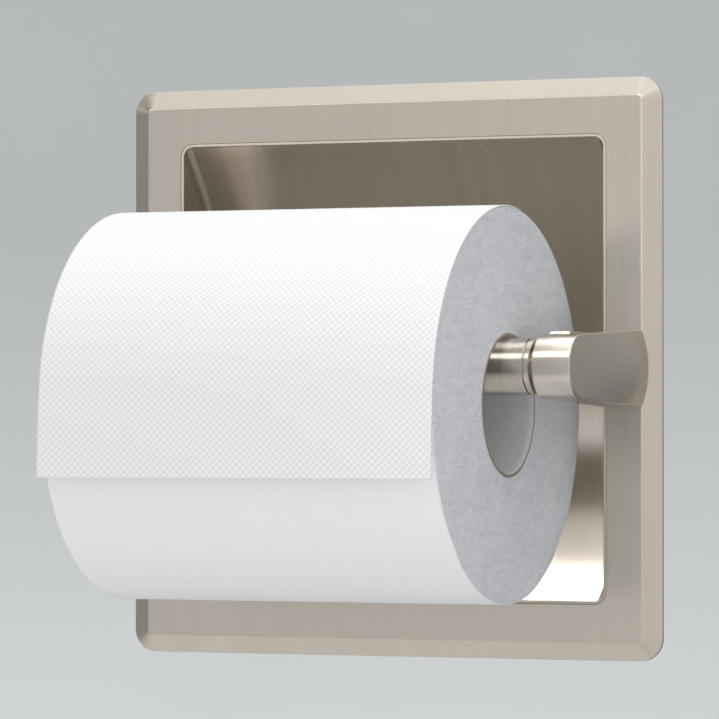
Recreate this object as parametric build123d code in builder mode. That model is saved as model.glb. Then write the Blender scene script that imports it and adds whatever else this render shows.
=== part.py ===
"""Recessed toilet paper holder with a sprung roller and a hanging roll of paper.

Frame: +X to the right as seen from the room, +Y into the wall, +Z up, millimetres.
The origin is the centre of the flange on the wall plane, so the room is at negative Y.
"""

from build123d import *
from math import acos, atan, atan2, cos, degrees, hypot, radians, sin
import os

os.makedirs("parts", exist_ok=True)

# Flange
plate_side = 158.75  # 6 1/4 in
plate_corner = 6.5
rim_height = 1.0  # height of the outer edge above the wall
face_height = 3.4  # height of the flat above the wall
bevel_width = 5.1
bevel_edge_round = 1.2
plate_skin = 1.4
hollow_side = 150.4
hollow_corner = 4.0
seam = 0.05  # gap between flange and pocket lip

# Roller axis, parallel to X
axis_y = -49.8

# Pocket
opening_side = 126.3
opening_corner = 2.8
pocket_wall = 0.9
scoop_axis_y = -62.0
scoop_radius = 86.7
scoop_slope = 50.0  # degrees; the arc ends at this slope, in front of the opening
side_round = 2.2  # inside, between scoop and side walls
lip_round = 0.2
ledge_side = 132.8
ledge_corner = 8.2
ledge_thickness = 1.2

# Posts
post_inner_x = 63.9
post_outer_x = 74.3
post_root_half = 10.4
post_crown = 1.9  # bulge of the outer face at the root
nose_crown = 0.1
nose_radius = 8.5
post_edge_round = 0.4
land_width = 5.5  # small raised land behind the nose
land_front_y = -45.2
land_back_y = -30.0
land_top = 9.3
land_lean = 0.33  # how far the land's front edge leans back
socket_radius = 4.1
socket_depth = 5.1
post_screw_x = 69.8
post_screw_z = 5.5
tapped_hole_radius = 1.65
tapped_hole_depth = 12.0
screw_clearance_radius = 2.0

# Post fasteners
post_washer_thickness = 0.5
post_washer_radius = 3.1
post_screw_radius = 1.6
post_screw_length = 11.0
post_head_radius = 2.9
post_head_height = 1.4

# Clamp behind the wall board
board_thickness = 12.7
board_travel_in = 3.2  # down to 9.5 mm board
clamp_hole_x = 38.1
clamp_hole_radius = 2.4
clamp_washer_radius = 4.4
clamp_washer_thickness = 0.8
clamp_screw_radius = 2.05
clamp_screw_length = 25.4
clamp_head_radius = 3.8
clamp_head_height = 2.4
strap_thickness = 1.6
strap_half_width = 11.0
strap_leg_z = 66.6
strap_foot_z = 78.0
strap_gap = 0.4
bend_round = 1.0
foot_corner = 3.0
nut_side = 8.7
nut_thickness = 3.2
nut_hole_radius = 2.12
lug_thickness = 1.2

# Foam strip
foam_outer = 150.2
foam_inner = 146.6

# Roller
roller_radius = 7.5
tube_wall = 0.8
small_radius = 6.2
small_wall = 0.7
roller_end_x = 62.5
ring_width = 1.75
groove_width = 0.3
groove_depth = 0.45
ring_bore_radius = 5.3
ring_chamfer = 0.25
neck_radius = 4.6
neck_end_x = 63.5
pin_radius = 4.0
pin_tip_x = 68.7
pin_tip_round = 1.2
plug_depth = 9.0
mouth_x = -6.0  # open end of the outer tube
bush_flange = 2.0
bush_depth = 5.0
stop_x = 12.0  # closed inner end of the small tube
stop_thickness = 2.0
stop_radius = 6.6
spring_radius = 5.2
spring_wire = 0.5
spring_turns = 10

# Roll
roll_left_x = -57.75
roll_width = 111.9
core_inner = 18.1
core_outer = 19.0
roll_radius = 52.5
sheet_thickness = 0.35
roll_gap = 0.4  # between the core and the top of the roller
sheet_leaves_at = 7.3  # degrees above the foremost line of the roll
sheet_wraps_to = 80.0  # degrees from +Y, just behind the top
sheet_drop = 25.4
roll_z = roller_radius + roll_gap - core_inner

wall_plane = Plane.XZ  # its normal is -Y, out of the wall
roller_axis = Axis((0, axis_y, 0), (1, 0, 0))
roller_plane = Plane(origin=(0, axis_y, 0), x_dir=(1, 0, 0), z_dir=(0, -1, 0))
pocket_back_y = scoop_axis_y + scoop_radius

strap_front_y = pocket_back_y + pocket_wall + board_travel_in + strap_gap
strap_back_y = strap_front_y + strap_thickness
foot_back_y = board_thickness + strap_thickness
leg_outer_z = strap_leg_z + strap_thickness


def save(builder, name):
    """Label one finished sub-part and write its STEP file."""
    builder.part.label = name
    export_step(builder.part, f"parts/{name}.step")


def square_ring(height, thickness, outer, outer_corner, inner, inner_corner):
    """A square ring parallel to the wall, from the given height outwards."""
    with BuildPart() as ring:
        with BuildSketch(wall_plane.offset(height)):
            RectangleRounded(outer, outer, outer_corner)
            RectangleRounded(inner, inner, inner_corner, mode=Mode.SUBTRACT)
        extrude(amount=thickness)
    return ring.part


def screw(under_head, radius, length, head_radius, head_height):
    """A pan head screw; the plane lies under its head and faces its tip."""
    slot_width = head_radius * 0.28
    slot_length = head_radius * 1.1
    with BuildPart() as body:
        with BuildSketch(under_head):
            Circle(radius)
        extrude(amount=length)
        along = Axis(under_head.origin, under_head.z_dir)
        chamfer(body.faces().sort_by(along)[-1].edges(), radius * 0.3)
        with BuildSketch(under_head):
            Circle(head_radius)
        extrude(amount=-head_height)
        fillet(body.faces().sort_by(along)[0].edges(), head_height * 0.45)
        with BuildSketch(under_head.offset(-head_height)):
            Rectangle(slot_length, slot_width)
            Rectangle(slot_width, slot_length)
        extrude(amount=head_height * 0.55, mode=Mode.SUBTRACT)
    return body.part


def washer(plane, outer, inner, thickness):
    """A flat washer that starts on the plane."""
    with BuildPart() as ring:
        with BuildSketch(plane):
            Circle(outer)
            Circle(inner, mode=Mode.SUBTRACT)
        extrude(amount=thickness)
    return ring.part


def turned(points):
    """A turned piece: a closed outline of (x, radius) points, revolved about the roller axis."""
    with BuildPart() as body:
        with BuildSketch(roller_plane):
            with BuildLine():
                Polyline(*points, close=True)
            make_face()
        revolve(axis=roller_axis)
    return body.part


def scoop(wall):
    """The pocket's inside, grown by a wall: part of a cylinder, cut square by the opening's sides."""
    radius = scoop_radius + wall
    half_side = opening_side / 2 + wall
    slope = radians(scoop_slope)
    tangent_y = scoop_axis_y + radius * cos(slope)
    tangent_z = radius * sin(slope)
    front_y = -4 * face_height
    front_z = tangent_z + (tangent_y - front_y) / sin(slope) * cos(slope)
    with BuildPart() as body:
        with BuildSketch(Plane.YZ.offset(-half_side)):
            with BuildLine():
                Line((front_y, -front_z), (tangent_y, -tangent_z))
                ThreePointArc((tangent_y, -tangent_z), (scoop_axis_y + radius, 0), (tangent_y, tangent_z))
                Line((tangent_y, tangent_z), (front_y, front_z))
                Line((front_y, front_z), (front_y, -front_z))
            make_face()
        extrude(amount=2 * half_side)
        ends = body.faces().filter_by(Axis.X).edges()
        fillet([e for e in ends if e.center().Y > front_y + 1], side_round + wall)
        with BuildSketch(wall_plane.offset(-front_y)):
            RectangleRounded(2 * half_side, 2 * half_side, opening_corner + wall)
        extrude(amount=2 * front_y - scoop_radius, mode=Mode.INTERSECT)
    return body.part


def strap_outline(sign):
    """Half of a clamp strap's hat-shaped outline, seen from the side."""
    points = [
        (strap_back_y, 0),
        (strap_back_y, leg_outer_z),
        (foot_back_y, leg_outer_z),
        (foot_back_y, strap_foot_z),
        (board_thickness, strap_foot_z),
        (board_thickness, strap_leg_z),
        (strap_front_y, strap_leg_z),
        (strap_front_y, 0),
    ]
    return [(y, sign * z) for y, z in points]


# ---------------------------------------------------------------- flange and pocket
bevel_angle = degrees(atan(bevel_width / (face_height - rim_height)))
post_screw_places = [(s * post_screw_x, t * post_screw_z) for s in (-1, 1) for t in (-1, 1)]

with BuildPart() as faceplate:
    with BuildSketch(wall_plane):
        RectangleRounded(plate_side, plate_side, plate_corner)
    extrude(amount=rim_height)
    with BuildSketch(wall_plane.offset(rim_height)):
        RectangleRounded(plate_side, plate_side, plate_corner)
    extrude(amount=face_height - rim_height, taper=bevel_angle)
    fillet(faceplate.faces().sort_by(Axis.Y)[0].edges(), bevel_edge_round)
    with BuildSketch(wall_plane):
        RectangleRounded(hollow_side, hollow_side, hollow_corner)
    extrude(amount=face_height - plate_skin, mode=Mode.SUBTRACT)
    with BuildSketch(wall_plane):
        opening = opening_side + 2 * (pocket_wall + seam)
        RectangleRounded(opening, opening, opening_corner + pocket_wall + seam)
        with Locations(*post_screw_places):
            Circle(screw_clearance_radius)
    extrude(amount=face_height, mode=Mode.SUBTRACT)
save(faceplate, "faceplate")

pocket_outside = scoop(pocket_wall)
pocket_inside = scoop(0)
lip_side = opening_side + 2 * pocket_wall
ledge_height = face_height - plate_skin - seam - ledge_thickness

with BuildPart() as recess_pocket:
    add(pocket_outside)
    with BuildSketch(wall_plane.offset(face_height)):
        Rectangle(2 * plate_side, 2 * plate_side)
    extrude(amount=plate_side, mode=Mode.SUBTRACT)
    with BuildSketch(wall_plane.offset(ledge_height)):
        RectangleRounded(ledge_side, ledge_side, ledge_corner)
    extrude(amount=ledge_thickness)
    add(pocket_inside, mode=Mode.SUBTRACT)
    with BuildSketch(wall_plane):
        with Locations((-clamp_hole_x, 0), (clamp_hole_x, 0)):
            Circle(clamp_hole_radius)
    extrude(amount=-2 * pocket_back_y, mode=Mode.SUBTRACT)
    lip_face = recess_pocket.faces().filter_by(Axis.Y).sort_by(Axis.Y)[0]
    fillet(lip_face.edges(), lip_round)
save(recess_pocket, "recess_pocket")

with BuildPart() as foam_seal:
    add(square_ring(0, face_height - plate_skin, foam_outer, hollow_corner, foam_inner, hollow_corner))
save(foam_seal, "foam_seal")

# ---------------------------------------------------------------- posts
post_length = -axis_y - face_height
root_distance = hypot(post_length, post_root_half)
tangent_angle = atan2(post_root_half, post_length) + acos(nose_radius / root_distance)
nose_y = axis_y + nose_radius * cos(tangent_angle)
nose_z = nose_radius * sin(tangent_angle)

with BuildPart() as right_post:
    for height, crown in ((face_height, post_crown), (nose_radius - axis_y + 1, nose_crown)):
        with BuildSketch(wall_plane.offset(height)):
            with BuildLine():
                Line((post_outer_x, -post_root_half), (post_inner_x, -post_root_half))
                Line((post_inner_x, -post_root_half), (post_inner_x, post_root_half))
                Line((post_inner_x, post_root_half), (post_outer_x, post_root_half))
                ThreePointArc(
                    (post_outer_x, post_root_half),
                    (post_outer_x + crown, 0),
                    (post_outer_x, -post_root_half),
                )
            make_face()
    loft()
    with BuildSketch(Plane.YZ):
        with BuildLine():
            Polyline(
                (nose_y, nose_z),
                (-face_height, post_root_half),
                (-face_height, -post_root_half),
                (nose_y, -nose_z),
            )
            ThreePointArc((nose_y, -nose_z), (axis_y - nose_radius, 0), (nose_y, nose_z))
        make_face()
    extrude(amount=2 * post_outer_x, mode=Mode.INTERSECT)
    rim = [
        e
        for e in right_post.edges()
        if e.center().X > post_outer_x - 1 and e.center().Y < -face_height - 1
    ]
    fillet(rim, post_edge_round)
    with BuildSketch(Plane.YZ.offset(post_inner_x)):
        with BuildLine():
            Polyline(
                (land_front_y, 0),
                (land_front_y, nose_radius),
                (land_front_y + land_lean, land_top),
                (land_back_y, land_top),
                (land_back_y, 0),
                close=True,
            )
        make_face()
    extrude(amount=land_width)
    with BuildSketch(Plane.YZ.offset(post_inner_x)):
        with Locations((axis_y, 0)):
            Circle(socket_radius)
    extrude(amount=socket_depth, mode=Mode.SUBTRACT)
    with BuildSketch(wall_plane.offset(face_height)):
        with Locations((post_screw_x, post_screw_z), (post_screw_x, -post_screw_z)):
            Circle(tapped_hole_radius)
    extrude(amount=tapped_hole_depth, mode=Mode.SUBTRACT)
save(right_post, "right_post")

with BuildPart() as left_post:
    mirror(right_post.part, about=Plane.YZ)
save(left_post, "left_post")

skin_back = wall_plane.offset(face_height - plate_skin)
with BuildPart() as post_washers:
    for x, z in post_screw_places:
        place = Plane(origin=(x, skin_back.origin.Y, z), x_dir=(1, 0, 0), z_dir=(0, 1, 0))
        add(washer(place, post_washer_radius, screw_clearance_radius, post_washer_thickness))
save(post_washers, "post_washers")

with BuildPart() as post_screws:
    for x, z in post_screw_places:
        seat = (x, skin_back.origin.Y + post_washer_thickness, z)
        place = Plane(origin=seat, x_dir=(1, 0, 0), z_dir=(0, -1, 0))
        add(screw(place, post_screw_radius, post_screw_length, post_head_radius, post_head_height))
save(post_screws, "post_screws")

# ---------------------------------------------------------------- clamp behind the wall board
washer_sagitta = scoop_radius - (scoop_radius**2 - clamp_washer_radius**2) ** 0.5
washer_back_y = pocket_back_y - washer_sagitta
head_seat_y = washer_back_y - clamp_washer_thickness - seam
clamp_holes = (-clamp_hole_x, clamp_hole_x)

with BuildPart() as clamp_washers:
    for x in clamp_holes:
        place = Plane(origin=(x, washer_back_y, 0), x_dir=(1, 0, 0), z_dir=(0, -1, 0))
        add(washer(place, clamp_washer_radius, clamp_hole_radius, clamp_washer_thickness))
save(clamp_washers, "clamp_washers")

for x, name in zip(clamp_holes, ("clamp_screw_left", "clamp_screw_right")):
    with BuildPart() as clamp_screw:
        place = Plane(origin=(x, head_seat_y, 0), x_dir=(1, 0, 0), z_dir=(0, 1, 0))
        add(screw(place, clamp_screw_radius, clamp_screw_length, clamp_head_radius, clamp_head_height))
    save(clamp_screw, name)

with BuildPart() as clamp_bracket:
    for x in clamp_holes:
        for sign in (-1, 1):
            with BuildSketch(Plane.YZ.offset(x - strap_half_width)):
                with BuildLine():
                    Polyline(*strap_outline(sign), close=True)
                make_face()
            extrude(amount=2 * strap_half_width)
    inner_bends = [(strap_front_y, strap_leg_z), (foot_back_y, leg_outer_z)]
    outer_bends = [(strap_back_y, leg_outer_z), (board_thickness, strap_leg_z)]
    for bends, radius in ((inner_bends, bend_round), (outer_bends, bend_round + strap_thickness)):
        for bend_y, bend_z in bends:
            chosen = [
                e
                for e in clamp_bracket.edges().filter_by(Axis.X)
                if abs(abs(e.center().Z) - bend_z) < 0.01 and abs(e.center().Y - bend_y) < 0.01
            ]
            fillet(chosen, radius)
    tips = [
        e for e in clamp_bracket.edges().filter_by(Axis.Y) if abs(abs(e.center().Z) - strap_foot_z) < 0.01
    ]
    fillet(tips, foot_corner)
    with BuildSketch(wall_plane.offset(-strap_front_y)):
        Rectangle(2 * clamp_hole_x, 2 * strap_half_width)
    extrude(amount=-strap_thickness)
    inside_corners = [
        e
        for e in clamp_bracket.edges().filter_by(Axis.Y)
        if abs(abs(e.center().X) - clamp_hole_x + strap_half_width) < 0.01
        and abs(abs(e.center().Z) - strap_half_width) < 0.01
    ]
    fillet(inside_corners, foot_corner)
    with BuildSketch(wall_plane):
        with Locations((-clamp_hole_x, 0), (clamp_hole_x, 0)):
            Circle(clamp_hole_radius)
    extrude(amount=-2 * strap_back_y, mode=Mode.SUBTRACT)
    lug_centre = (nut_side + lug_thickness) / 2 + seam
    lug_places = [(x, t * lug_centre) for x in clamp_holes for t in (-1, 1)]
    with BuildSketch(wall_plane.offset(-strap_back_y)):
        with Locations(*lug_places):
            Rectangle(nut_side, lug_thickness)
    extrude(amount=-nut_thickness)
save(clamp_bracket, "clamp_bracket")

with BuildPart() as clamp_nuts:
    with BuildSketch(wall_plane.offset(-strap_back_y)):
        with Locations((-clamp_hole_x, 0), (clamp_hole_x, 0)):
            RectangleRounded(nut_side, nut_side, bend_round)
            Circle(nut_hole_radius, mode=Mode.SUBTRACT)
    extrude(amount=-nut_thickness)
save(clamp_nuts, "clamp_nuts")

# ---------------------------------------------------------------- roller, large half
tube_bore = roller_radius - tube_wall
tube_end_x = roller_end_x - ring_width - groove_width
ring_start_x = roller_end_x - ring_width

with BuildPart() as roller_outer_tube:
    with BuildSketch(Plane.YZ.offset(mouth_x)):
        with Locations((axis_y, 0)):
            Circle(roller_radius)
            Circle(tube_bore, mode=Mode.SUBTRACT)
    extrude(amount=tube_end_x - mouth_x)
save(roller_outer_tube, "roller_outer_tube")


def end_cap(plug_radius, collar_radius):
    """End plug with the groove collar, the ring seat, the neck and the pin, at the right end."""
    plug_x = tube_end_x - plug_depth
    with BuildPart() as cap:
        add(
            turned(
                [
                    (plug_x, 0),
                    (plug_x, plug_radius),
                    (tube_end_x, plug_radius),
                    (tube_end_x, collar_radius),
                    (ring_start_x, collar_radius),
                    (ring_start_x, ring_bore_radius),
                    (roller_end_x, ring_bore_radius),
                    (roller_end_x, neck_radius),
                    (neck_end_x, neck_radius),
                    (neck_end_x, pin_radius),
                    (pin_tip_x, pin_radius),
                    (pin_tip_x, 0),
                ]
            )
        )
        fillet(cap.faces().sort_by(Axis.X)[-1].edges(), pin_tip_round)
    return cap.part


def end_ring(radius):
    """The turned ring at the right end, chamfered outside."""
    return turned(
        [
            (ring_start_x, ring_bore_radius),
            (ring_start_x, radius - ring_chamfer),
            (ring_start_x + ring_chamfer, radius),
            (roller_end_x - ring_chamfer, radius),
            (roller_end_x, radius - ring_chamfer),
            (roller_end_x, ring_bore_radius),
        ]
    )


with BuildPart() as roller_cap_right:
    add(end_cap(tube_bore, roller_radius - groove_depth))
save(roller_cap_right, "roller_cap_right")

with BuildPart() as roller_ring_right:
    add(end_ring(roller_radius))
save(roller_ring_right, "roller_ring_right")

bush_bore = small_radius + seam
with BuildPart() as roller_guide_bush:
    add(
        turned(
            [
                (mouth_x - bush_flange, bush_bore),
                (mouth_x - bush_flange, roller_radius - ring_chamfer),
                (mouth_x - bush_flange + ring_chamfer, roller_radius),
                (mouth_x, roller_radius),
                (mouth_x, tube_bore),
                (mouth_x + bush_depth, tube_bore),
                (mouth_x + bush_depth, bush_bore),
            ]
        )
    )
save(roller_guide_bush, "roller_guide_bush")

# ---------------------------------------------------------------- roller, small half
small_bore = small_radius - small_wall
with BuildPart() as roller_inner_tube:
    add(
        turned(
            [
                (-tube_end_x, small_bore),
                (-tube_end_x, small_radius),
                (stop_x - stop_thickness, small_radius),
                (stop_x - stop_thickness, stop_radius),
                (stop_x, stop_radius),
                (stop_x, 0),
                (stop_x - small_wall, 0),
                (stop_x - small_wall, small_bore),
            ]
        )
    )
save(roller_inner_tube, "roller_inner_tube")

with BuildPart() as roller_cap_left:
    mirror(end_cap(small_bore, small_radius - groove_depth), about=Plane.YZ)
save(roller_cap_left, "roller_cap_left")

with BuildPart() as roller_ring_left:
    mirror(end_ring(small_radius), about=Plane.YZ)
save(roller_ring_left, "roller_ring_left")

# ---------------------------------------------------------------- spring
spring_start_x = stop_x + spring_wire
spring_length = tube_end_x - plug_depth - spring_wire - spring_start_x
with BuildPart() as roller_spring:
    with BuildLine() as coil:
        Helix(
            pitch=spring_length / spring_turns,
            height=spring_length,
            radius=spring_radius,
            center=(spring_start_x, axis_y, 0),
            direction=(1, 0, 0),
        )
    with BuildSketch(Plane(origin=coil.line @ 0, z_dir=coil.line % 0)):
        Circle(spring_wire)
    sweep(path=coil.line, is_frenet=True)
save(roller_spring, "roller_spring")

# ---------------------------------------------------------------- roll of paper
for name, outer, inner in (
    ("cardboard_core", core_outer, core_inner),
    ("paper_roll", roll_radius, core_outer),
):
    with BuildPart() as layer:
        with BuildSketch(Plane.YZ.offset(roll_left_x)):
            with Locations((axis_y, roll_z)):
                Circle(outer)
                Circle(inner, mode=Mode.SUBTRACT)
        extrude(amount=roll_width)
    save(layer, name)

with BuildPart() as loose_sheet:
    with BuildSketch(Plane.YZ.offset(roll_left_x)):
        with BuildLine():
            wrap = 180 - sheet_leaves_at - sheet_wraps_to
            inner = CenterArc((axis_y, roll_z), roll_radius, sheet_wraps_to, wrap)
            outer = CenterArc((axis_y, roll_z), roll_radius + sheet_thickness, sheet_wraps_to, wrap)
            inner_end = inner @ 1 + sheet_drop * (inner % 1)
            outer_end = outer @ 1 + sheet_drop * (outer % 1)
            Line(inner @ 1, inner_end)
            Line(outer @ 1, outer_end)
            Line(inner_end, outer_end)
            Line(inner @ 0, outer @ 0)
        make_face()
    extrude(amount=roll_width)
save(loose_sheet, "loose_sheet")
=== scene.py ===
"""Looks for the recessed toilet paper holder, in metres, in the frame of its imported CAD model.

+X is to the right as seen from the room, +Y into the wall and +Z up. The CAD's metal pieces keep
their meshes and get procedural finishes. Paper, cardboard, foam, the spring and the clamp's
threaded screws are built here.
"""

import bpy
import numpy as np
from math import cos, pi, radians, sin
from mathutils import Matrix, Vector, noise

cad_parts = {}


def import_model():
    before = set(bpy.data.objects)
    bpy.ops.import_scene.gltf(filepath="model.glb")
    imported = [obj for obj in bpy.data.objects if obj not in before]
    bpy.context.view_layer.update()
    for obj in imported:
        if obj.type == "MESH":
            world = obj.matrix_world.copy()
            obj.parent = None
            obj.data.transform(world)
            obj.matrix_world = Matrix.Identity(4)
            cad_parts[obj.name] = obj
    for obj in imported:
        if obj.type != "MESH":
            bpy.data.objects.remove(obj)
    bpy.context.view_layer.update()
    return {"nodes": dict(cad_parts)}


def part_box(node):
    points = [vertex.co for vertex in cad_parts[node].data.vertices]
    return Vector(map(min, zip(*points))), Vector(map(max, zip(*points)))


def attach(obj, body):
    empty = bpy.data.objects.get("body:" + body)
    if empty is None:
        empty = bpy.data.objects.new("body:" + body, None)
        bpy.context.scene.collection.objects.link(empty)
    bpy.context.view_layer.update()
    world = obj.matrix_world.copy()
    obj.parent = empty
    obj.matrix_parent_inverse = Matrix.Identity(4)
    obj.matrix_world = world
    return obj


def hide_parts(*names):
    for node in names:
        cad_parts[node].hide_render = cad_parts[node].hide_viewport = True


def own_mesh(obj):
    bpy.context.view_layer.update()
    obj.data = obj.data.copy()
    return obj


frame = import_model()

MM = 0.001

# Last sheet
SHEET_THICKNESS = 0.35 * MM
SHEET_LEAVES_AT = 180.0 - 7.3  # degrees from +Y, where the sheet hangs free of the roll
SHEET_WRAPS_TO = 80.0  # degrees from +Y, where it becomes the roll's outer layer
SHEET_DROP = 25.7 * MM
SHEET_SWING = 1.9 * MM  # towards the wall at the free end
SHEET_WAVE = 0.4 * MM  # how far the free end waves out of flat
SHEET_FADE = 14 * MM  # the start of the sheet thickens over this length
SHEET_START = 0.12  # and begins at this share of its thickness
SHEET_LIFT = 0.03 * MM  # the sheet's inner face stays this far off the roll
DOT_PITCH = 1.9 * MM  # across the sheet
DOT_ROWS = 1.86 * MM  # along the sheet; every second row is shifted by half a pitch
DOT_HEIGHT = 0.10 * MM
DOT_STREAK = 0.31  # the share of the rising diagonal in the pattern; 0.25 would make both alike
DOT_STEPS = 4  # mesh steps for each pitch

# Roll and core
ROLL_SEGMENTS = 224
ROLL_SINK = 0.05 * MM  # the roll's outside stays this far within the CAD's
ROLL_GAP = 0.02 * MM  # between the core and the paper
ROLL_WAVE = 0.03 * MM
ROLL_EDGE_ROUND = 0.4 * MM
END_RINGS = 64
END_SINK = 0.14 * MM  # mean depth of the cut ends within the CAD's
END_STREAK = 0.09 * MM
END_LUMP = 0.05 * MM
END_FACING = 0.7  # a face is on an end when its normal has this part along X
CORE_SEGMENTS = 160
CORE_WALL = 0.9 * MM
CORE_SINK = 0.06 * MM  # the core's outside stays this far within the CAD's
CORE_LIFT = 0.1 * MM  # and its inside this far, which leaves room for the seam's step
CORE_FRAY = 0.05 * MM
SEAM_STEP = 0.09 * MM
SEAM_TURNS = 1.6  # from one end of the core to the other

# Hardware
SPRING_TURNS = 10
SPRING_WIRE_RADIUS = 0.5 * MM
THREAD_PITCH = 0.79375 * MM  # 32 turns to the inch
THREAD_DEPTH = 0.32 * MM
THREAD_STEPS = 250
SCREW_SEGMENTS = 72
SCREW_RADIUS = 2.03 * MM
SCREW_HEAD = 2.4 * MM
SCREW_PLAIN = 1.0 * MM  # shank without thread, under the head
SHANK_RADIUS = 0.86 * SCREW_RADIUS
TIP_TAPER = 0.9 * MM  # length of the tapered tip
TIP_SLOPE = 0.8  # radius lost for each unit of that length
HEAD_BEVEL = 0.1 * MM
RECESS_DEPTH = 0.42 * SCREW_HEAD
THREADED = None  # stands in a screw's profile for the thread's own radius
FOAM_WIDTH = 1.8 * MM
FOAM_CORNER = 4.0 * MM  # outer corner radius
FOAM_EDGE_ROUND = 0.45 * MM
FOAM_WAVE = 0.05 * MM
FOAM_SHARE = 0.98  # of the CAD's thickness

# Finishes
NICKEL = (0.62, 0.567, 0.496)
ZINC = (0.66, 0.67, 0.68)
GROOVE_DEPTH = 0.004 * MM
TANGENT_FLOOR = (0.02, 0.01, 0.015)  # added, because a tangent of no length turns a face black
PAINTED_RIM_SHADE_FADE = 0.2 * MM  # the rim's painted shade ends over this depth
TISSUE_GLOSS = {"Specular_IOR_Level": 0.12, "Sheen_Weight": 0.15}
NOISE_LOW, NOISE_HIGH = 0.3, 0.7  # most values of a noise lie between these

# Camera
EYE = (0.50629, -1.18641, -0.01710)
LOOK = (-0.39929, 0.91669, 0.01555)
SENSOR = 36.0  # mm
LENS = 232.6  # mm


# ---------------------------------------------------------------- node trees
class Nodes:
    """A node tree with one short call for each kind of node."""

    def __init__(self, tree):
        self.tree = tree

    def put(self, socket, value):
        """Links an output to the socket, or sets a constant there."""
        if isinstance(value, bpy.types.NodeSocket):
            self.tree.links.new(value, socket)
        else:
            socket.default_value = value

    def add(self, kind, inputs=None, out=0, **settings):
        """A new node with its inputs and settings; gives the output that out names."""
        node = self.tree.nodes.new("ShaderNode" + kind)
        for name, value in settings.items():
            setattr(node, name, value)
        for name, value in (inputs or {}).items():
            self.put(node.inputs[name], value)
        return node.outputs[out]

    def math(self, operation, a, b=0.0, c=0.0):
        return self.add("Math", {0: a, 1: b, 2: c}, operation=operation)

    def weighted(self, *parts):
        """The sum of (value, weight) pairs."""
        total = 0.0
        for value, weight in reversed(parts):
            total = self.math("MULTIPLY_ADD", value, weight, total)
        return total

    def span(self, value, low, high, to_low, to_high, smooth=False):
        """The range from low to high stretched to a new one, and held at its ends."""
        kind = "SMOOTHSTEP" if smooth else "LINEAR"
        inputs = {"Value": value, "From Min": low, "From Max": high, "To Min": to_low, "To Max": to_high}
        return self.add("MapRange", inputs, interpolation_type=kind)

    def spread(self, noise, low, high):
        """A number between low and high that follows a noise."""
        return self.span(noise, NOISE_LOW, NOISE_HIGH, low, high)

    def tones(self, noise, dark, light):
        """A colour between dark and light that follows a noise."""
        return self.ramp(noise, [(NOISE_LOW, dark), (NOISE_HIGH, light)])

    def blend(self, factor, a, b, mode="MIX"):
        inputs = {0: factor, 6: a, 7: b}
        return self.add("Mix", inputs, out=2, data_type="RGBA", blend_type=mode)

    def stretched(self, vector, scale, turn=(0.0, 0.0, 0.0)):
        return self.add("Mapping", {"Vector": vector, "Scale": scale, "Rotation": turn})

    def noise(self, vector, scale=1.0, detail=4.0, rough=0.55, warp=0.0):
        shape = {"Scale": scale, "Detail": detail, "Roughness": rough, "Distortion": warp}
        return self.add("TexNoise", {"Vector": vector, **shape})

    def ramp(self, factor, stops):
        """A colour ramp through grey levels or colours, given as (position, level or colour)."""
        output = self.add("ValToRGB", {"Fac": factor})
        ramp = output.node.color_ramp
        while len(ramp.elements) < len(stops):
            ramp.elements.new(0.5)
        for element, (position, level) in zip(ramp.elements, stops):
            color = level if isinstance(level, tuple) else (level,) * 3
            element.position = position
            element.color = (*color, 1.0)
        return output

    def dress(self, surface, color, roughness, height, depth):
        """Gives a Principled shader its colour, its roughness and a bump of the given depth."""
        self.put(surface.inputs["Base Color"], color)
        self.put(surface.inputs["Roughness"], roughness)
        bump = self.add("Bump", {"Height": height, "Distance": depth, "Strength": 1.0})
        self.put(surface.inputs["Normal"], bump)


def new_material(name, **constants):
    """A material, its nodes, its Principled shader with constant sockets set, and where a point is."""
    material = bpy.data.materials.new(name)
    material.use_nodes = True
    surface = material.node_tree.nodes["Principled BSDF"]
    nodes = Nodes(material.node_tree)
    for socket, value in constants.items():
        surface.inputs[socket.replace("_", " ")].default_value = value
    return material, nodes, surface, nodes.add("TexCoord", out="Object")


def shade(color, amount):
    """A colour made lighter or darker."""
    return tuple(min(1.0, c * amount) for c in color)


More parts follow.
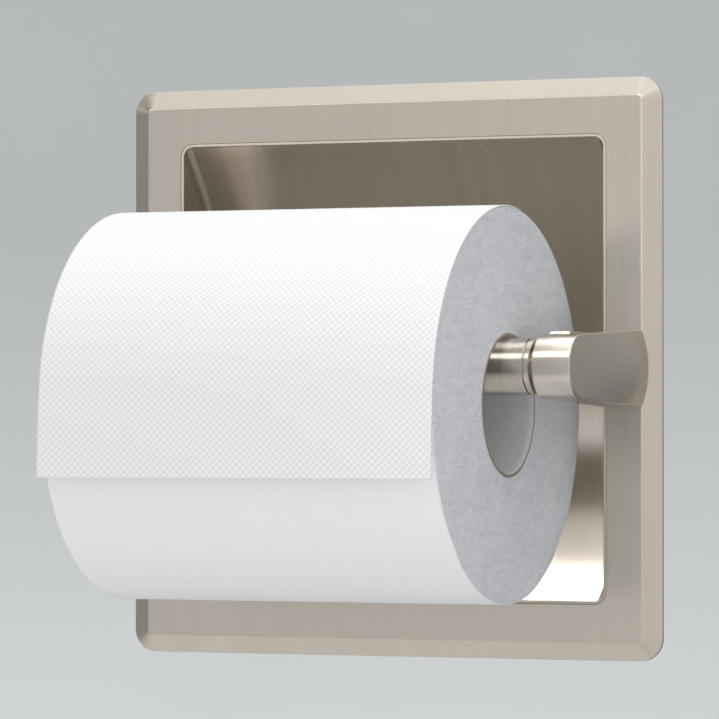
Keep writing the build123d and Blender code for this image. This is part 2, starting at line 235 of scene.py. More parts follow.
# ---------------------------------------------------------------- metals
def nickel(name, roughness, grain, along, contrast, lip=None, satin=0.0):
    """Brushed nickel, whose pattern changes grain times per metre along each axis.

    Light spreads across the grain, which runs along the given direction or, with None, round the X
    axis. In front of lip, a value of Y, the metal is painted darker, a painted shade along the pocket's
    rim, and is duller there. Faces towards X are blasted satin by the given amount.
    """
    material, nodes, surface, place = new_material(name, Metallic=1.0, Anisotropic=0.7)
    if along is None:
        across = nodes.add("CombineXYZ", {"X": 1.0})
    else:
        normal = nodes.add("NewGeometry", out="Normal")
        across = nodes.add("VectorMath", {0: normal, 1: along}, operation="CROSS_PRODUCT")
        across = nodes.add("VectorMath", {0: across}, operation="ABSOLUTE")
    tangent = nodes.add("VectorMath", {0: across, 1: TANGENT_FLOOR}, operation="ADD")
    nodes.put(surface.inputs["Tangent"], tangent)
    coarse = [0.17 * times for times in grain]
    lines = nodes.noise(nodes.stretched(place, grain), detail=5.0, rough=0.65)
    bands = nodes.noise(nodes.stretched(place, coarse), detail=3.0, rough=0.6)
    smudges = nodes.noise(place, scale=42.0, detail=3.0, warp=0.6)
    pattern = nodes.weighted((lines, 0.65), (bands, 0.35))
    tone = nodes.ramp(pattern, [(0.25, shade(NICKEL, 1 - contrast)), (0.75, shade(NICKEL, 1 + contrast))])
    dull = nodes.spread(smudges, roughness - 0.02, roughness + 0.03)
    uneven = nodes.math("SUBTRACT", pattern, 0.5)
    rough = nodes.math("MULTIPLY_ADD", uneven, 0.16, dull)
    if satin:
        facing = nodes.add("SeparateXYZ", {"Vector": nodes.add("NewGeometry", out="Normal")})
        sideways = nodes.span(nodes.math("ABSOLUTE", facing), 0.85, 0.97, 0.0, 1.0)
        speckle = nodes.noise(place, scale=1700.0, detail=4.0, rough=0.65)
        duller = nodes.math("MULTIPLY", sideways, nodes.spread(speckle, 0.0, satin))
        rough = nodes.math("ADD", rough, duller)
        grains = nodes.tones(speckle, shade(NICKEL, 0.965), shade(NICKEL, 1.035))
        tone = nodes.blend(sideways, tone, grains)
    # painted shade: a darker, duller band of the metal along the pocket's rim
    if lip is not None:
        y = nodes.add("SeparateXYZ", {"Vector": place}, out=1)
        painted_rim_shade = nodes.span(y, lip, lip + PAINTED_RIM_SHADE_FADE, 1.0, 0.0)
        tone = nodes.blend(nodes.math("MULTIPLY", painted_rim_shade, 0.85), tone, (*shade(NICKEL, 0.74), 1.0))
        rough = nodes.math("MULTIPLY_ADD", painted_rim_shade, 0.1, rough)
    nodes.dress(surface, tone, rough, pattern, GROOVE_DEPTH)
    return material


def zinc_plate():
    """Bright zinc over rolled steel: faint spangle, cloudy roughness and small pits."""
    material, nodes, surface, place = new_material("zinc_plate", Metallic=1.0)
    spangle = nodes.add("TexVoronoi", {"Vector": place, "Scale": 900.0}, out="Color")
    level = nodes.add("RGBToBW", {"Color": spangle})
    clouds = nodes.noise(place, scale=160.0, detail=5.0, rough=0.6)
    pattern = nodes.weighted((level, 0.25), (clouds, 0.75))
    tone = nodes.ramp(pattern, [(0.2, shade(ZINC, 0.86)), (0.8, shade(ZINC, 1.08))])
    nodes.dress(surface, tone, nodes.spread(clouds, 0.28, 0.42), pattern, 0.02 * MM)
    return material


def spring_steel():
    """Drawn wire, oiled and slightly dark, with a cloudy roughness."""
    material, nodes, surface, place = new_material("spring_steel", Metallic=1.0)
    clouds = nodes.noise(place, scale=600.0, detail=4.0)
    tone = nodes.tones(clouds, (0.26, 0.26, 0.27), (0.42, 0.42, 0.43))
    nodes.dress(surface, tone, nodes.spread(clouds, 0.24, 0.38), clouds, 0.01 * MM)
    return material


# ---------------------------------------------------------------- plastics, foam and board
def moulded_nylon():
    """Off-white nylon, a little translucent, with a fine moulded texture."""
    material, nodes, surface, place = new_material("moulded_nylon", Subsurface_Weight=0.15)
    surface.inputs["Subsurface Radius"].default_value = (0.001, 0.001, 0.0008)
    clouds = nodes.noise(place, scale=300.0, detail=4.0)
    fine = nodes.noise(place, scale=4000.0, detail=2.0)
    tone = nodes.tones(clouds, (0.60, 0.59, 0.55), (0.68, 0.67, 0.63))
    nodes.dress(surface, tone, nodes.spread(clouds, 0.38, 0.5), fine, 0.01 * MM)
    return material


def closed_cell_foam():
    """Black foam with small round cells."""
    material, nodes, surface, place = new_material("closed_cell_foam", Specular_IOR_Level=0.25)
    cells = nodes.add("TexVoronoi", {"Vector": place, "Scale": 1800.0}, out="Distance")
    clouds = nodes.noise(place, scale=120.0, detail=3.0)
    tone = nodes.tones(clouds, (0.022, 0.022, 0.024), (0.045, 0.045, 0.048))
    nodes.dress(surface, tone, nodes.span(cells, 0.0, 0.6, 0.95, 0.75), cells, 0.12 * MM)
    return material


def core_board(name, light, dark):
    """Wound board between two tones: pressed fibres, darker flecks and a matt surface."""
    material, nodes, surface, place = new_material(name, Specular_IOR_Level=0.2)
    fibres = nodes.noise(nodes.stretched(place, (700.0, 2400.0, 2400.0)), detail=5.0, rough=0.6)
    flecks = nodes.noise(place, scale=1900.0, detail=3.0, rough=0.7)
    spots = nodes.span(flecks, 0.66, 0.74, 0.0, 0.5)
    tone = nodes.blend(spots, nodes.tones(fibres, dark, light), (*shade(dark, 0.6), 1.0))
    nodes.dress(surface, tone, nodes.spread(fibres, 0.8, 0.95), fibres, 0.06 * MM)
    return material


# ---------------------------------------------------------------- paper
def plain_tissue():
    """The wound paper's outside: soft crossed fibres, barely uneven."""
    material, nodes, surface, place = new_material("tissue_plain", **TISSUE_GLOSS)
    crepe = nodes.noise(nodes.stretched(place, (1500.0, 5200.0, 5200.0)), detail=4.0, rough=0.6)
    clouds = nodes.noise(place, scale=260.0, detail=4.0)
    pattern = nodes.weighted((crepe, 0.6), (clouds, 0.4))
    tone = nodes.tones(pattern, (0.8309, 0.8396, 0.8483), (0.87, 0.8735, 0.877))
    nodes.dress(surface, tone, nodes.spread(clouds, 0.86, 0.96), pattern, 0.04 * MM)
    return material


def embossed_tissue():
    """Tissue with painted shade that makes the valleys between its dots greyer; the dots are counted along
    and across the flat sheet.
    """
    material, nodes, surface, place = new_material("embossed_tissue", **TISSUE_GLOSS)
    flat = nodes.add("Attribute", out="Vector", attribute_name="dots")
    across = nodes.add("SeparateXYZ", {"Vector": flat})
    along = across.node.outputs[1]

    def ridges(direction, share):
        phase = nodes.math("MULTIPLY", nodes.math(direction, across, along), 2 * pi)
        return nodes.math("MULTIPLY", nodes.math("COSINE", phase), share)

    both = nodes.math("ADD", ridges("ADD", DOT_STREAK), ridges("SUBTRACT", 0.5 - DOT_STREAK))
    rise = nodes.math("ADD", both, 0.5)
    fibres = nodes.noise(place, scale=2600.0, detail=4.0, rough=0.65)
    height = nodes.math("MULTIPLY_ADD", fibres, 0.25, rise)
    # painted shade: the tone darkens with the height, greyest in the valleys between the dots
    shaded_valley, shaded_slope, dot = (0.80, 0.805, 0.81), (0.87, 0.875, 0.88), (0.96, 0.962, 0.965)
    tone = nodes.ramp(height, [(0.15, shaded_valley), (0.6, shaded_slope), (1.0, dot)])
    nodes.dress(surface, tone, nodes.spread(fibres, 0.86, 0.96), height, 0.12 * MM)
    return material


def cut_paper():
    """The roll's end: hundreds of cut edges, streaky round the axis and cloudy, with painted cool shade
    that makes it darker and bluer than the outside.
    """
    material, nodes, surface, place = new_material("cut_paper", Specular_IOR_Level=0.1)
    low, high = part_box("paper_roll")
    centre = (low + high) / 2
    part = nodes.add("SeparateXYZ", {"Vector": place})
    y = nodes.math("SUBTRACT", part.node.outputs[1], centre.y)
    z = nodes.math("SUBTRACT", part.node.outputs[2], centre.z)
    radius = nodes.math("SQRT", nodes.math("MULTIPLY_ADD", y, y, nodes.math("MULTIPLY", z, z)))
    layers = nodes.add("CombineXYZ", {
        "X": nodes.math("MULTIPLY", radius, 2600.0),
        "Y": nodes.math("MULTIPLY", y, 60.0),
        "Z": nodes.math("MULTIPLY", z, 60.0),
    })
    clouded = nodes.stretched(place, (170.0, 80.0, 170.0))
    leaning = nodes.stretched(place, (1500.0, 700.0, 1500.0), (0.5, 0.0, 0.0))
    creased = nodes.stretched(place, (90.0, 60.0, 210.0), (0.35, 0.0, 0.0))
    streaks = nodes.noise(layers, detail=4.0, rough=0.6)
    marble = nodes.noise(clouded, detail=6.0, rough=0.7, warp=1.6)
    creases = nodes.noise(creased, detail=6.0, rough=0.7, warp=3.0)
    fibres = nodes.noise(leaning, detail=4.0, warp=0.8)
    pattern = nodes.weighted((streaks, 0.1), (marble, 0.35), (creases, 0.3), (fibres, 0.25))
    # painted shade: these tones are darker and bluer than the wound outside, for the dimmer, cooler light
    # on the ends; their streaks and clouds are the cut paper's own
    dark, middle, light = (0.54, 0.55, 0.59), (0.64, 0.655, 0.695), (0.74, 0.755, 0.79)
    tone = nodes.ramp(pattern, [(0.36, dark), (0.5, middle), (0.64, light)])
    nodes.dress(surface, tone, 0.95, pattern, 0.8 * MM)
    return material


# ---------------------------------------------------------------- meshes
def new_piece(name, points, faces):
    """A smooth mesh object in the scene."""
    mesh = bpy.data.meshes.new(name)
    mesh.from_pydata([tuple(p) for p in points], [], faces)
    mesh.update()
    mesh.polygons.foreach_set("use_smooth", [True] * len(faces))
    piece = bpy.data.objects.new(name, mesh)
    bpy.context.scene.collection.objects.link(piece)
    return piece


def grid_faces(rows, columns, around=True, closed=True, first=0, flip=False):
    """Quads of a grid of points; the rows close on themselves if closed, the columns if around."""
    faces = []
    for i in range(rows if closed else rows - 1):
        for j in range(columns if around else columns - 1):
            a = first + i * columns + j
            b = first + i * columns + (j + 1) % columns
            c = first + (i + 1) % rows * columns + (j + 1) % columns
            d = first + (i + 1) % rows * columns + j
            faces.append((a, d, c, b) if flip else (a, b, c, d))
    return faces


def finish_piece(piece, body, slot, replaces, *materials):
    """Gives a new piece its materials and body, and hides the CAD nodes it stands for. slot is not used."""
    for material in materials:
        piece.data.materials.append(material)
    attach(piece, body)
    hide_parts(*replaces)


def arc(centre, radius, start, stop, steps):
    """Points of an arc in a profile, start and stop in degrees."""
    angles = np.radians(np.linspace(start, stop, steps))
    return [(centre[0] + radius * cos(a), centre[1] + radius * sin(a)) for a in angles]


def revolved(name, profile, centre, segments, shift):
    """A closed profile of (x, radius) turned about the line along X through centre.

    shift(x, r, angle) gives how far each point moves along X and outwards.
    """
    points = []
    for x, r in profile:
        for k in range(segments):
            angle = 2 * pi * k / segments
            dx, dr = shift(x, r, angle)
            points.append((x + dx, centre.y + (r + dr) * cos(angle), centre.z + (r + dr) * sin(angle)))
    return new_piece(name, points, grid_faces(len(profile), segments))


# ---------------------------------------------------------------- the roll
roll_low, roll_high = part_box("paper_roll")
core_low, core_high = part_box("cardboard_core")
roll_centre = (roll_low + roll_high) / 2
roll_radius = (roll_high.z - roll_low.z) / 2
core_radius = (core_high.z - core_low.z) / 2


def paper_roll():
    """The wound paper: soft rims, uneven cut edges on the ends and a faintly wavy outside."""
    left, right = roll_low.x, roll_high.x
    inner, outer, edge = core_radius + ROLL_GAP, roll_radius - ROLL_SINK, ROLL_EDGE_ROUND
    rings = [float(r) for r in np.linspace(inner, outer - edge, END_RINGS)]
    profile = [(x, inner) for x in np.linspace(left, right, 12)[1:-1]]
    profile += [(right, r) for r in rings]
    profile += arc((right - edge, outer - edge), edge, 0, 90, 6)[1:]
    half = (right - left) / 2 - edge
    profile += [(roll_centre.x + half * cos(a), outer) for a in np.linspace(0, pi, 48)[1:]]
    profile += arc((left + edge, outer - edge), edge, 90, 180, 6)[1:]
    profile += [(left, r) for r in rings[-2::-1]]

    def shift(x, r, angle):
        side = 1 if x > roll_centre.x else -1
        at_end = abs(x - roll_centre.x) > (right - left) / 2 - edge
        turned = Vector((r * 420.0, cos(angle) * 3.0, sin(angle) * 3.0 + side * 9.0))
        streak = noise.noise(turned)
        lump = noise.noise(Vector((r * 90.0 * cos(angle), r * 90.0 * sin(angle), side * 5.0)))
        if at_end and r > inner:
            return -side * (END_SINK + END_STREAK * streak + END_LUMP * lump), 0.0
        if r > outer - edge:
            wave = noise.noise(Vector((x * 60.0, cos(angle) * 4.0, sin(angle) * 4.0)))
            return 0.0, ROLL_WAVE * (wave - 1.0)
        return 0.0, 0.0

    roll = revolved("roll_of_tissue", profile, roll_centre, ROLL_SEGMENTS, shift)
    ends = [f for f in roll.data.polygons if abs(f.normal.x) > END_FACING]
    finish_piece(roll, "roll", "paper", ["paper_roll"], plain_tissue(), cut_paper())
    for face in ends:
        face.material_index = 1
    return roll


def loose_sheet():
    """The last sheet: round the front of the roll, then hanging free; its embossed dots are in the mesh."""
    middle = roll_radius + SHEET_THICKNESS / 2
    wrap = radians(SHEET_LEAVES_AT - SHEET_WRAPS_TO)
    length = wrap * middle + SHEET_DROP
    width = roll_high.x - roll_low.x
    columns = DOT_STEPS * round(width / DOT_PITCH)
    rows = DOT_STEPS * round(length / DOT_ROWS)

    def place(s, offset):
        """Where the sheet is, s along it from its start and offset out of its middle."""
        turned = min(s / middle, wrap)
        angle = radians(SHEET_WRAPS_TO) + turned
        free = max(0.0, s - wrap * middle)
        out, down = Vector((0, cos(angle), sin(angle))), Vector((0, -sin(angle), cos(angle)))
        return Vector((0, roll_centre.y, roll_centre.z)) + out * (middle + offset) + down * free

    def sway(s, x):
        """The free end swings back to hang plumb, and is never quite flat."""
        free = max(0.0, s - wrap * middle) / SHEET_DROP
        wave = noise.noise(Vector((x * 26.0, 3.0, 0.0)))
        return SHEET_WAVE * wave * free ** 2 - SHEET_SWING * free ** 1.6

    points, dots = [], []
    for i in range(rows + 1):
        s = length * i / rows
        for j in range(columns + 1):
            x = roll_low.x + width * j / columns
            u, v = j / DOT_STEPS, i / DOT_STEPS
            rise = 0.5 + DOT_STREAK * cos(2 * pi * (u + v)) + (0.5 - DOT_STREAK) * cos(2 * pi * (u - v))
            height = DOT_HEIGHT * (rise - 1.0)
            thickness = min(1.0, SHEET_START + s / SHEET_FADE) * (SHEET_THICKNESS + height)
            p = place(s, thickness - SHEET_THICKNESS / 2 + sway(s, x))
            points.append((x, p.y, p.z))
            dots.append((u, v, 0.0))
    outer_count = len(points)
    inner_rows, inner_columns = rows // DOT_STEPS, columns // DOT_STEPS
    for i in range(inner_rows + 1):
        s = length * i / inner_rows
        for j in range(inner_columns + 1):
            x = roll_low.x + width * j / inner_columns
            p = place(s, SHEET_LIFT - SHEET_THICKNESS / 2 + sway(s, x))
            points.append((x, p.y, p.z))
            dots.append((j, i, 0.0))
    faces = grid_faces(rows + 1, columns + 1, around=False, closed=False)
    inner_grid = {"around": False, "closed": False, "first": outer_count, "flip": True}
    faces += grid_faces(inner_rows + 1, inner_columns + 1, **inner_grid)

    def outer_at(i, j):
        return i * (columns + 1) + j

    def inner_at(i, j):
        return outer_count + i // DOT_STEPS * (inner_columns + 1) + j // DOT_STEPS

    for j in range(0, columns, DOT_STEPS):
        top = [outer_at(0, j + k) for k in range(DOT_STEPS + 1)]
        faces.append((*reversed(top), inner_at(0, j), inner_at(0, j + DOT_STEPS)))
        end = [outer_at(rows, j + k) for k in range(DOT_STEPS + 1)]
        faces.append((*end, inner_at(rows, j + DOT_STEPS), inner_at(rows, j)))
    for i in range(0, rows, DOT_STEPS):
        left = [outer_at(i + k, 0) for k in range(DOT_STEPS + 1)]
        faces.append((*left, inner_at(i + DOT_STEPS, 0), inner_at(i, 0)))
        right = [outer_at(i + k, columns) for k in range(DOT_STEPS + 1)]
        faces.append((*reversed(right), inner_at(i, columns), inner_at(i + DOT_STEPS, columns)))
    sheet = new_piece("hanging_sheet", points, faces)
    attribute = sheet.data.attributes.new("dots", "FLOAT_VECTOR", "POINT")
    attribute.data.foreach_set("vector", np.array(dots, np.float32).ravel())
    finish_piece(sheet, "roll", "paper", ["loose_sheet"], embossed_tissue())
    return sheet


def cardboard_core():
    """The wound tube, with its strip's seam as a small step along a helix inside it."""
    left, right = core_low.x, core_high.x
    outer, inner = core_radius - CORE_SINK, core_radius - CORE_WALL + CORE_LIFT
    profile = [(x, inner) for x in np.linspace(left, right, 60)]
    profile += [(right, (inner + outer) / 2)]
    profile += [(x, outer) for x in np.linspace(right, left, 60)]
    profile += [(left, (inner + outer) / 2)]

    def shift(x, r, angle):
        turns = (x - left) / (right - left) * SEAM_TURNS - angle / (2 * pi)
        step = SEAM_STEP * (turns % 1.0) ** 6
        fray = noise.noise(Vector((cos(angle) * 30.0, sin(angle) * 30.0, x * 400.0)))
        side = 1 if x > roll_centre.x else -1
        dx = -side * CORE_FRAY * (1 + fray) if x in (left, right) else 0.0
        return dx, -step if r < (inner + outer) / 2 else 0.0

    core = revolved("card_core", profile, roll_centre, CORE_SEGMENTS, shift)
    grey = core_board("core_inside", (0.66, 0.67, 0.685), (0.56, 0.57, 0.585))
    brown = core_board("core_edge", (0.36, 0.27, 0.19), (0.24, 0.18, 0.125))
    finish_piece(core, "roll", "cardboard", ["cardboard_core"], grey, brown)
    for face in core.data.polygons:
        if abs(face.normal.x) > END_FACING:
            face.material_index = 1
    return core


# ---------------------------------------------------------------- hardware
def spring():
    """A compression spring with closed, ground-flat end turns, made as a tube along a helix."""
    low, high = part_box("roller_spring")
    centre = (low + high) / 2
    radius = (high.z - low.z) / 2 - SPRING_WIRE_RADIUS
    start, stop = low.x + SPRING_WIRE_RADIUS, high.x - SPRING_WIRE_RADIUS
    steps, ring = 40 * (SPRING_TURNS + 2), 10
    points = []
    for i in range(steps + 1):
        t = i / steps * (SPRING_TURNS + 2)
        inside = min(max(t - 1.0, 0.0), SPRING_TURNS) / SPRING_TURNS
        x = start + (stop - start) * inside
        angle = 2 * pi * t
        out = Vector((0, cos(angle), sin(angle)))
        for k in range(ring):
            turn = 2 * pi * k / ring
            p = out * (radius + SPRING_WIRE_RADIUS * cos(turn))
            points.append((x + SPRING_WIRE_RADIUS * sin(turn), centre.y + p.y, centre.z + p.z))
    faces = grid_faces(steps + 1, ring, closed=False, flip=True)
    faces += [tuple(range(ring)), tuple(reversed(range(steps * ring, (steps + 1) * ring)))]
    coil = new_piece("coil_spring", points, faces)
    finish_piece(coil, "roller_large", "spring_steel", ["roller_spring"], spring_steel())
    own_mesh(coil)


def threaded_screw(side):
    """A pan head screw that points along +Y, with a rolled thread, a tapered tip and a cross recess."""
    low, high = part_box("clamp_screw_" + side)
    centre = (low + high) / 2
    head_radius = (high.z - low.z) / 2
    seat = low.y + SCREW_HEAD
    thread_end = seat + SCREW_PLAIN
    profile = [(high.y, 0.0)]
    profile += [(y, THREADED) for y in np.linspace(high.y, thread_end, THREAD_STEPS)]
    profile += [(thread_end, SHANK_RADIUS), (seat, SHANK_RADIUS)]
    profile += [(seat, head_radius - HEAD_BEVEL), (seat - HEAD_BEVEL, head_radius)]
    side_steps = np.linspace(0.2, 0.72, 6)
    profile += [(seat - SCREW_HEAD * t, head_radius * (1 - 0.16 * t * t)) for t in side_steps]
    dome_radius, dome_height = 0.86 * head_radius, 0.26 * SCREW_HEAD
    dome_steps = np.linspace(0.1, 1.0, 22)
    profile += [(low.y + dome_height * (1 - t), dome_radius * (1 - t * t) ** 0.5) for t in dome_steps]
    ring = SCREW_SEGMENTS
    points = []
    for y, r in profile:
        for k in range(ring):
            angle = 2 * pi * k / ring
            if r is THREADED:
                reach = SCREW_RADIUS - thread_cut(y, angle) * THREAD_DEPTH
                reach -= TIP_SLOPE * max(0.0, y - high.y + TIP_TAPER)
            else:
                reach = r
            x, z = reach * cos(angle), reach * sin(angle)
            sunk = cross_depth(x, z, head_radius) if y < low.y + 0.3 * SCREW_HEAD else 0.0
            points.append((centre.x + x, y + sunk, centre.z + z))
    faces = grid_faces(len(profile), ring, closed=False)
    faces.append(tuple((len(profile) - 1) * ring + k for k in range(ring)))
    piece = new_piece("threaded_screw_" + side, points, faces)
    finish_piece(piece, "screw_" + side, "zinc_steel", ["clamp_screw_" + side], finishes["zinc"])


def thread_cut(y, angle):
    """0 on a thread's crest and 1 at its root, with flanks between flats."""
    turn = (y / THREAD_PITCH - angle / (2 * pi)) % 1.0
    crest_share, flank_share = 0.12, 0.72
    return min(1.0, max(0.0, (abs(2 * turn - 1) - crest_share) / flank_share))


def cross_depth(x, z, head_radius):
    """How far the cross recess cuts into the head's face at a point of it."""
    arm, half_width = head_radius * 0.58, head_radius * 0.15
    wall, ramp = head_radius * 0.07, head_radius * 0.3
    depth = 0.0
    for along, across in ((x, z), (z, x)):
        side = min(1.0, max(0.0, (half_width - abs(across)) / wall + 0.5))
        end = min(1.0, max(0.0, (arm - abs(along)) / ramp))
        depth = max(depth, side * end)
    return depth * RECESS_DEPTH


def foam_strip():
    """The foam strip behind the flange's rim: a square loop with rounded, slightly uneven edges."""
    low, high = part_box("foam_seal")
    outer, middle_y = (high.x - low.x) / 2, (low.y + high.y) / 2
    half_depth, half_width = (high.y - low.y) / 2, FOAM_WIDTH / 2
    corner_x, corner_y = half_width - FOAM_EDGE_ROUND, half_depth - FOAM_EDGE_ROUND
    section = []
    for sx, sy, start in ((1, 1, 0), (-1, 1, 90), (-1, -1, 180), (1, -1, 270)):
        section += arc((corner_x * sx, corner_y * sy), FOAM_EDGE_ROUND, start, start + 90, 5)
    line = []  # x, z, direction outwards, and the side's own turn
    straight = outer - FOAM_CORNER
    side_steps, corner_steps = 10, 8
    for quarter in range(4):
        turn = pi / 2 * quarter
        for step in range(side_steps):
            line.append((straight, -straight + 2 * straight * step / side_steps, 0.0, turn))
        for step in range(corner_steps):
            line.append((straight, straight, pi / 2 * step / corner_steps, turn))
    points = []
    for x, z, bend, turn in line:
        for u, v in section:
            out = FOAM_CORNER - half_width + u
            x_here, z_here = x + out * cos(bend), z + out * sin(bend)
            x_turned = x_here * cos(turn) - z_here * sin(turn)
            z_turned = x_here * sin(turn) + z_here * cos(turn)
            wave = FOAM_WAVE * noise.noise(Vector((x_turned * 90.0, v * 900.0, z_turned * 90.0)))
            drawn_in = 1 - abs(wave) / outer
            points.append((x_turned * drawn_in, middle_y + v * FOAM_SHARE, z_turned * drawn_in))
    piece = new_piece("foam_gasket", points, grid_faces(len(line), len(section)))
    finish_piece(piece, "housing", "foam", ["foam_seal"], finishes["foam"])


# ---------------------------------------------------------------- studio
def world():
    """A soft studio: pale on the room's side, bright overhead, dim to the left and low behind.

    The camera itself sees one plain pale grey.
    """
    scene_world = bpy.data.worlds.new("studio")
    bpy.context.scene.world = scene_world
    scene_world.use_nodes = True
    scene_world.cycles.sampling_method = "NONE"
    nodes = Nodes(scene_world.node_tree)
    direction = nodes.add("TexCoord", out="Generated")
    x = nodes.add("SeparateXYZ", {"Vector": direction})
    y, z = x.node.outputs[1], x.node.outputs[2]
    height = nodes.math("MULTIPLY_ADD", z, 0.5, 0.5)
    floor_to_sky = [
        (0.0, 0.11), (0.07, 0.13), (0.11, 0.20), (0.15, 0.35), (0.50, 0.36), (0.78, 0.40), (0.86, 0.55),
        (0.92, 0.85), (1.0, 0.95),
    ]
    by_height = nodes.ramp(height, floor_to_sky)
    bearing = nodes.math("ARCTAN2", x, nodes.math("MULTIPLY", y, -1.0))
    around = nodes.math("MULTIPLY_ADD", bearing, 1 / (2 * pi), 0.5)
    wall_left_room_right = [
        (0.0, 0.22), (0.20, 0.17), (0.295, 0.20), (0.36, 0.36), (0.435, 0.49), (0.5, 0.52), (0.575, 0.56),
        (0.67, 0.50), (0.75, 0.40), (0.93, 0.36), (1.0, 0.22),
    ]
    by_bearing = nodes.ramp(around, wall_left_room_right)
    overhead = nodes.span(z, 0.6, 0.9, 0.0, 1.0, smooth=True)
    side = nodes.blend(overhead, by_bearing, (0.5, 0.5, 0.5, 1.0))
    behind = nodes.span(y, 0.1, 0.7, 0.0, 1.0, smooth=True)
    shadow = nodes.span(z, -0.45, 0.35, 0.75, 0.0, smooth=True)
    dim = nodes.ramp(nodes.math("MULTIPLY", behind, shadow), [(0.0, 1.0), (1.0, 0.0)])
    both_ways = nodes.blend(1.0, by_height, side, mode="MULTIPLY")
    light = nodes.blend(1.0, both_ways, dim, mode="MULTIPLY")
    output = scene_world.node_tree.nodes["World Output"]
    background = scene_world.node_tree.nodes["Background"]
    nodes.put(background.inputs["Color"], light)
    background.inputs["Strength"].default_value = 4.0
    plain = nodes.add("Background", {"Color": (0.44, 0.47, 0.47, 1.0), "Strength": 1.0})
    seen = nodes.add("LightPath", out="Is Camera Ray")
    shown = nodes.add("MixShader", {0: seen, 1: background.outputs[0], 2: plain})
    nodes.put(output.inputs["Surface"], shown)


def backdrop():
    """A plain pale sweep: floor well below the holder, curving up into a wall far behind it."""
    floor_z, wall_y, wall_top, bend, half, near = -0.45, 2.4, 5.0, 0.6, 7.0, -5.0
    line = [(near, floor_z), (wall_y - bend, floor_z)]
    line += arc((wall_y - bend, floor_z + bend), bend, -90, 0, 24)[1:]
    line += [(wall_y, wall_top)]
    points = [(side * half, y, z) for y, z in line for side in (-1, 1)]
    faces = [(2 * i, 2 * i + 1, 2 * i + 3, 2 * i + 2) for i in range(len(line) - 1)]
    sweep = new_piece("backdrop_sweep", points, faces)
    matt = {"Roughness": 0.9, "Specular_IOR_Level": 0.1}
    material, nodes, surface, place = new_material("pale_paper_backdrop", **matt)
    tone = nodes.tones(nodes.noise(place, scale=3.0), (0.60, 0.63, 0.63), (0.62, 0.65, 0.65))
    nodes.put(surface.inputs["Base Color"], tone)
    sweep.data.materials.append(material)
    sweep.visible_glossy = False
    sweep.visible_diffuse = False


def lamp_set(name, objects):
    """A collection for light linking, outside the scene's own tree of collections."""
    group = bpy.data.collections.new(name)
    for piece in objects:
        group.objects.link(piece)
    return group


def softbox(name, target, direction, distance, size, radiance, receivers, blockers):
    """A soft lamp that faces the target from the given direction and lights only some pieces."""
    light = bpy.data.lights.new(name, "AREA")
    light.shape = "RECTANGLE"
    light.size, light.size_y = size
    light.energy = radiance * pi * size[0] * size[1]
    light.cycles.use_multiple_importance_sampling = False
    lamp = bpy.data.objects.new(name, light)
    away = Vector(direction).normalized()
    lamp.location = Vector(target) + away * distance
    level = (Vector((1, 0, 0)) - away * away.x).normalized()
    lamp.rotation_euler = Matrix((level, away.cross(level), away)).transposed().to_euler()
    bpy.context.scene.collection.objects.link(lamp)
    lamp.light_linking.receiver_collection = receivers
    lamp.light_linking.blocker_collection = blockers
    lamp.visible_camera = False


def towards_room(right, degrees_up):
    """A direction with the given part to the right and the rest of it turned up from the horizon."""
    level = (1 - right * right) ** 0.5
    return (right, -level * cos(radians(degrees_up)), level * sin(radians(degrees_up)))


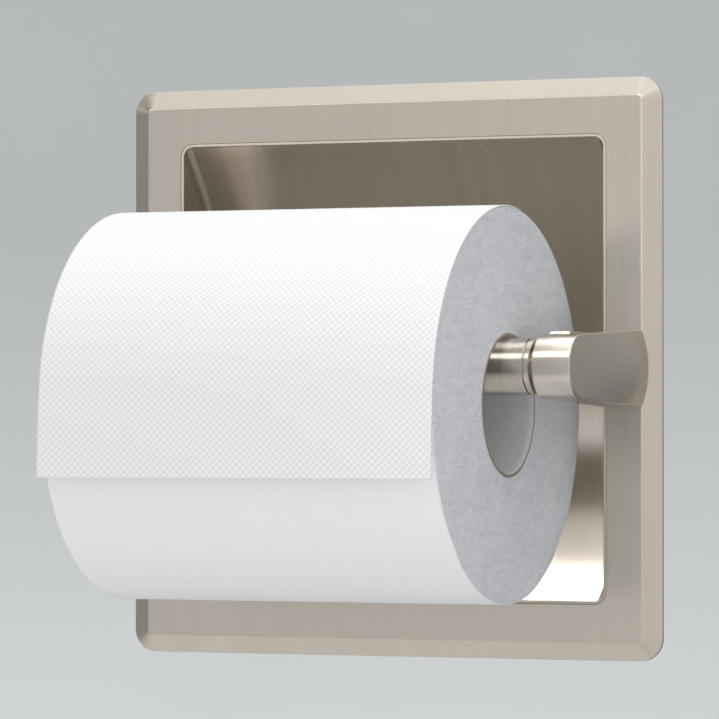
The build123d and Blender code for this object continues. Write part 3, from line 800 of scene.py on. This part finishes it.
def lamps(paper):
    """A soft lamp for each highlight, linked to the pieces that show it."""
    nodes = frame["nodes"]
    hardware = [o for n, o in nodes.items() if n not in ("paper_roll", "loose_sheet", "cardboard_core")]
    arm_pieces = [o for n, o in nodes.items() if n.startswith("roller_") or n.endswith("_post")]
    by_hardware = lamp_set("blocks_lamps", hardware)
    arms = lamp_set("lit_arms", arm_pieces)
    pocket = lamp_set("lit_pocket", [nodes["recess_pocket"]])
    flange = lamp_set("lit_flange", [nodes["faceplate"]])
    roll = lamp_set("lit_paper", paper)
    wound = lamp_set("lit_roll", paper[:1])
    by_all = lamp_set("blocks_all", hardware + paper)
    arm_at, pocket_at = (0.060, -0.057, 0.003), (0.058, 0.018, -0.030)
    below, right_edge, top_edge = (0, -0.003, -0.074), (0.072, -0.003, 0), (0, -0.003, 0.072)
    roll_middle, roll_upper, roll_under = (0, -0.05, 0), (0, -0.07, 0.02), (0, -0.08, -0.03)
    # name, aimed at, part to the right, degrees up, distance, size, radiance, lights, shaded by
    rows = [
        ("arm_strip", arm_at, -0.4, 44, 1.0, (1.6, 0.32), 1.7, arms, by_hardware),
        ("arm_top", arm_at, -0.4, 98, 1.0, (1.6, 0.56), 0.9, arms, by_hardware),
        ("arm_low", arm_at, -0.4, -80, 1.0, (1.6, 1.9), 0.34, arms, by_hardware),
        ("pocket_low", pocket_at, -0.4, 90, 0.6, (0.9, 0.30), 4.5, pocket, by_hardware),
        ("pocket_slope", pocket_at, -0.4, 70, 0.6, (0.9, 0.36), 0.55, pocket, by_hardware),
        ("pocket_middle", pocket_at, -0.4, 15, 0.8, (0.9, 0.36), 0.80, pocket, by_hardware),
        ("flange_low", below, -0.4, -58, 1.0, (1.8, 0.36), 0.42, flange, by_hardware),
        ("flange_side_edge", right_edge, 0.09, 21, 1.0, (0.07, 0.76), 4.2, flange, by_hardware),
        ("flange_top_edge", top_edge, -0.4, 30, 1.0, (1.6, 0.08), 2.6, flange, by_hardware),
        ("paper_low", roll_middle, -0.15, -76, 1.2, (1.4, 1.0), 1.0, roll, by_all),
        ("paper_top", roll_upper, -0.3, 62, 1.2, (1.2, 1.0), 0.28, roll, by_hardware),
        ("roll_low", roll_under, -0.15, -50, 1.2, (1.4, 1.0), 0.5, wound, by_hardware),
    ]
    for name, target, right, up, distance, size, radiance, lit, shade_by in rows:
        softbox(name, target, towards_room(right, up), distance, size, radiance, lit, shade_by)
    softbox("paper_end", (0.054, -0.09, 0), (0.75, -0.62, 0.15), 0.16, (0.10, 0.16), 0.9, roll, by_all)


def camera():
    """A long lens, well to the right and level with the holder."""
    lens = bpy.data.cameras.new("view")
    lens.sensor_width = SENSOR
    lens.lens = LENS
    lens.clip_start = 0.05
    lens.clip_end = 50.0
    eye = bpy.data.objects.new("view", lens)
    eye.location = EYE
    eye.rotation_euler = Vector(LOOK).to_track_quat("-Z", "Y").to_euler()
    bpy.context.scene.collection.objects.link(eye)
    bpy.context.scene.camera = eye


# ---------------------------------------------------------------- put together
fine, lip_at = 2600.0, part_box("recess_pocket")[0].y + 0.3 * MM
finishes = {
    "flange": nickel("nickel_vertical_grain", 0.30, (fine, fine, 45.0), (0, 0, 1), 0.07),
    "pocket": nickel("nickel_pocket_grain", 0.24, (fine, 45.0, 45.0), (0, 0, 1), 0.12, lip=lip_at),
    "post": nickel("nickel_post_grain", 0.22, (fine, 60.0, fine), (0, 1, 0), 0.07, satin=0.1),
    "turned": nickel("nickel_turned_grain", 0.20, (3200.0, 30.0, 30.0), None, 0.13),
    "zinc": zinc_plate(),
    "nylon": moulded_nylon(),
    "foam": closed_cell_foam(),
}
cad_pieces = {
    "flange": ["faceplate"],
    "pocket": ["recess_pocket"],
    "post": ["right_post", "left_post"],
    "turned": [
        "roller_outer_tube", "roller_cap_right", "roller_ring_right",
        "roller_inner_tube", "roller_cap_left", "roller_ring_left",
    ],
    "zinc": ["post_screws", "post_washers", "clamp_washers", "clamp_bracket", "clamp_nuts"],
    "nylon": ["roller_guide_bush"],
}
for finish, pieces in cad_pieces.items():
    for piece in pieces:
        frame["nodes"][piece].data.materials.clear()
        frame["nodes"][piece].data.materials.append(finishes[finish])

paper = [paper_roll(), loose_sheet(), cardboard_core()]
spring()
foam_strip()
for side in ("left", "right"):
    threaded_screw(side)

bpy.context.scene.view_settings.view_transform = "Standard"
world()
backdrop()
lamps(paper)
camera()
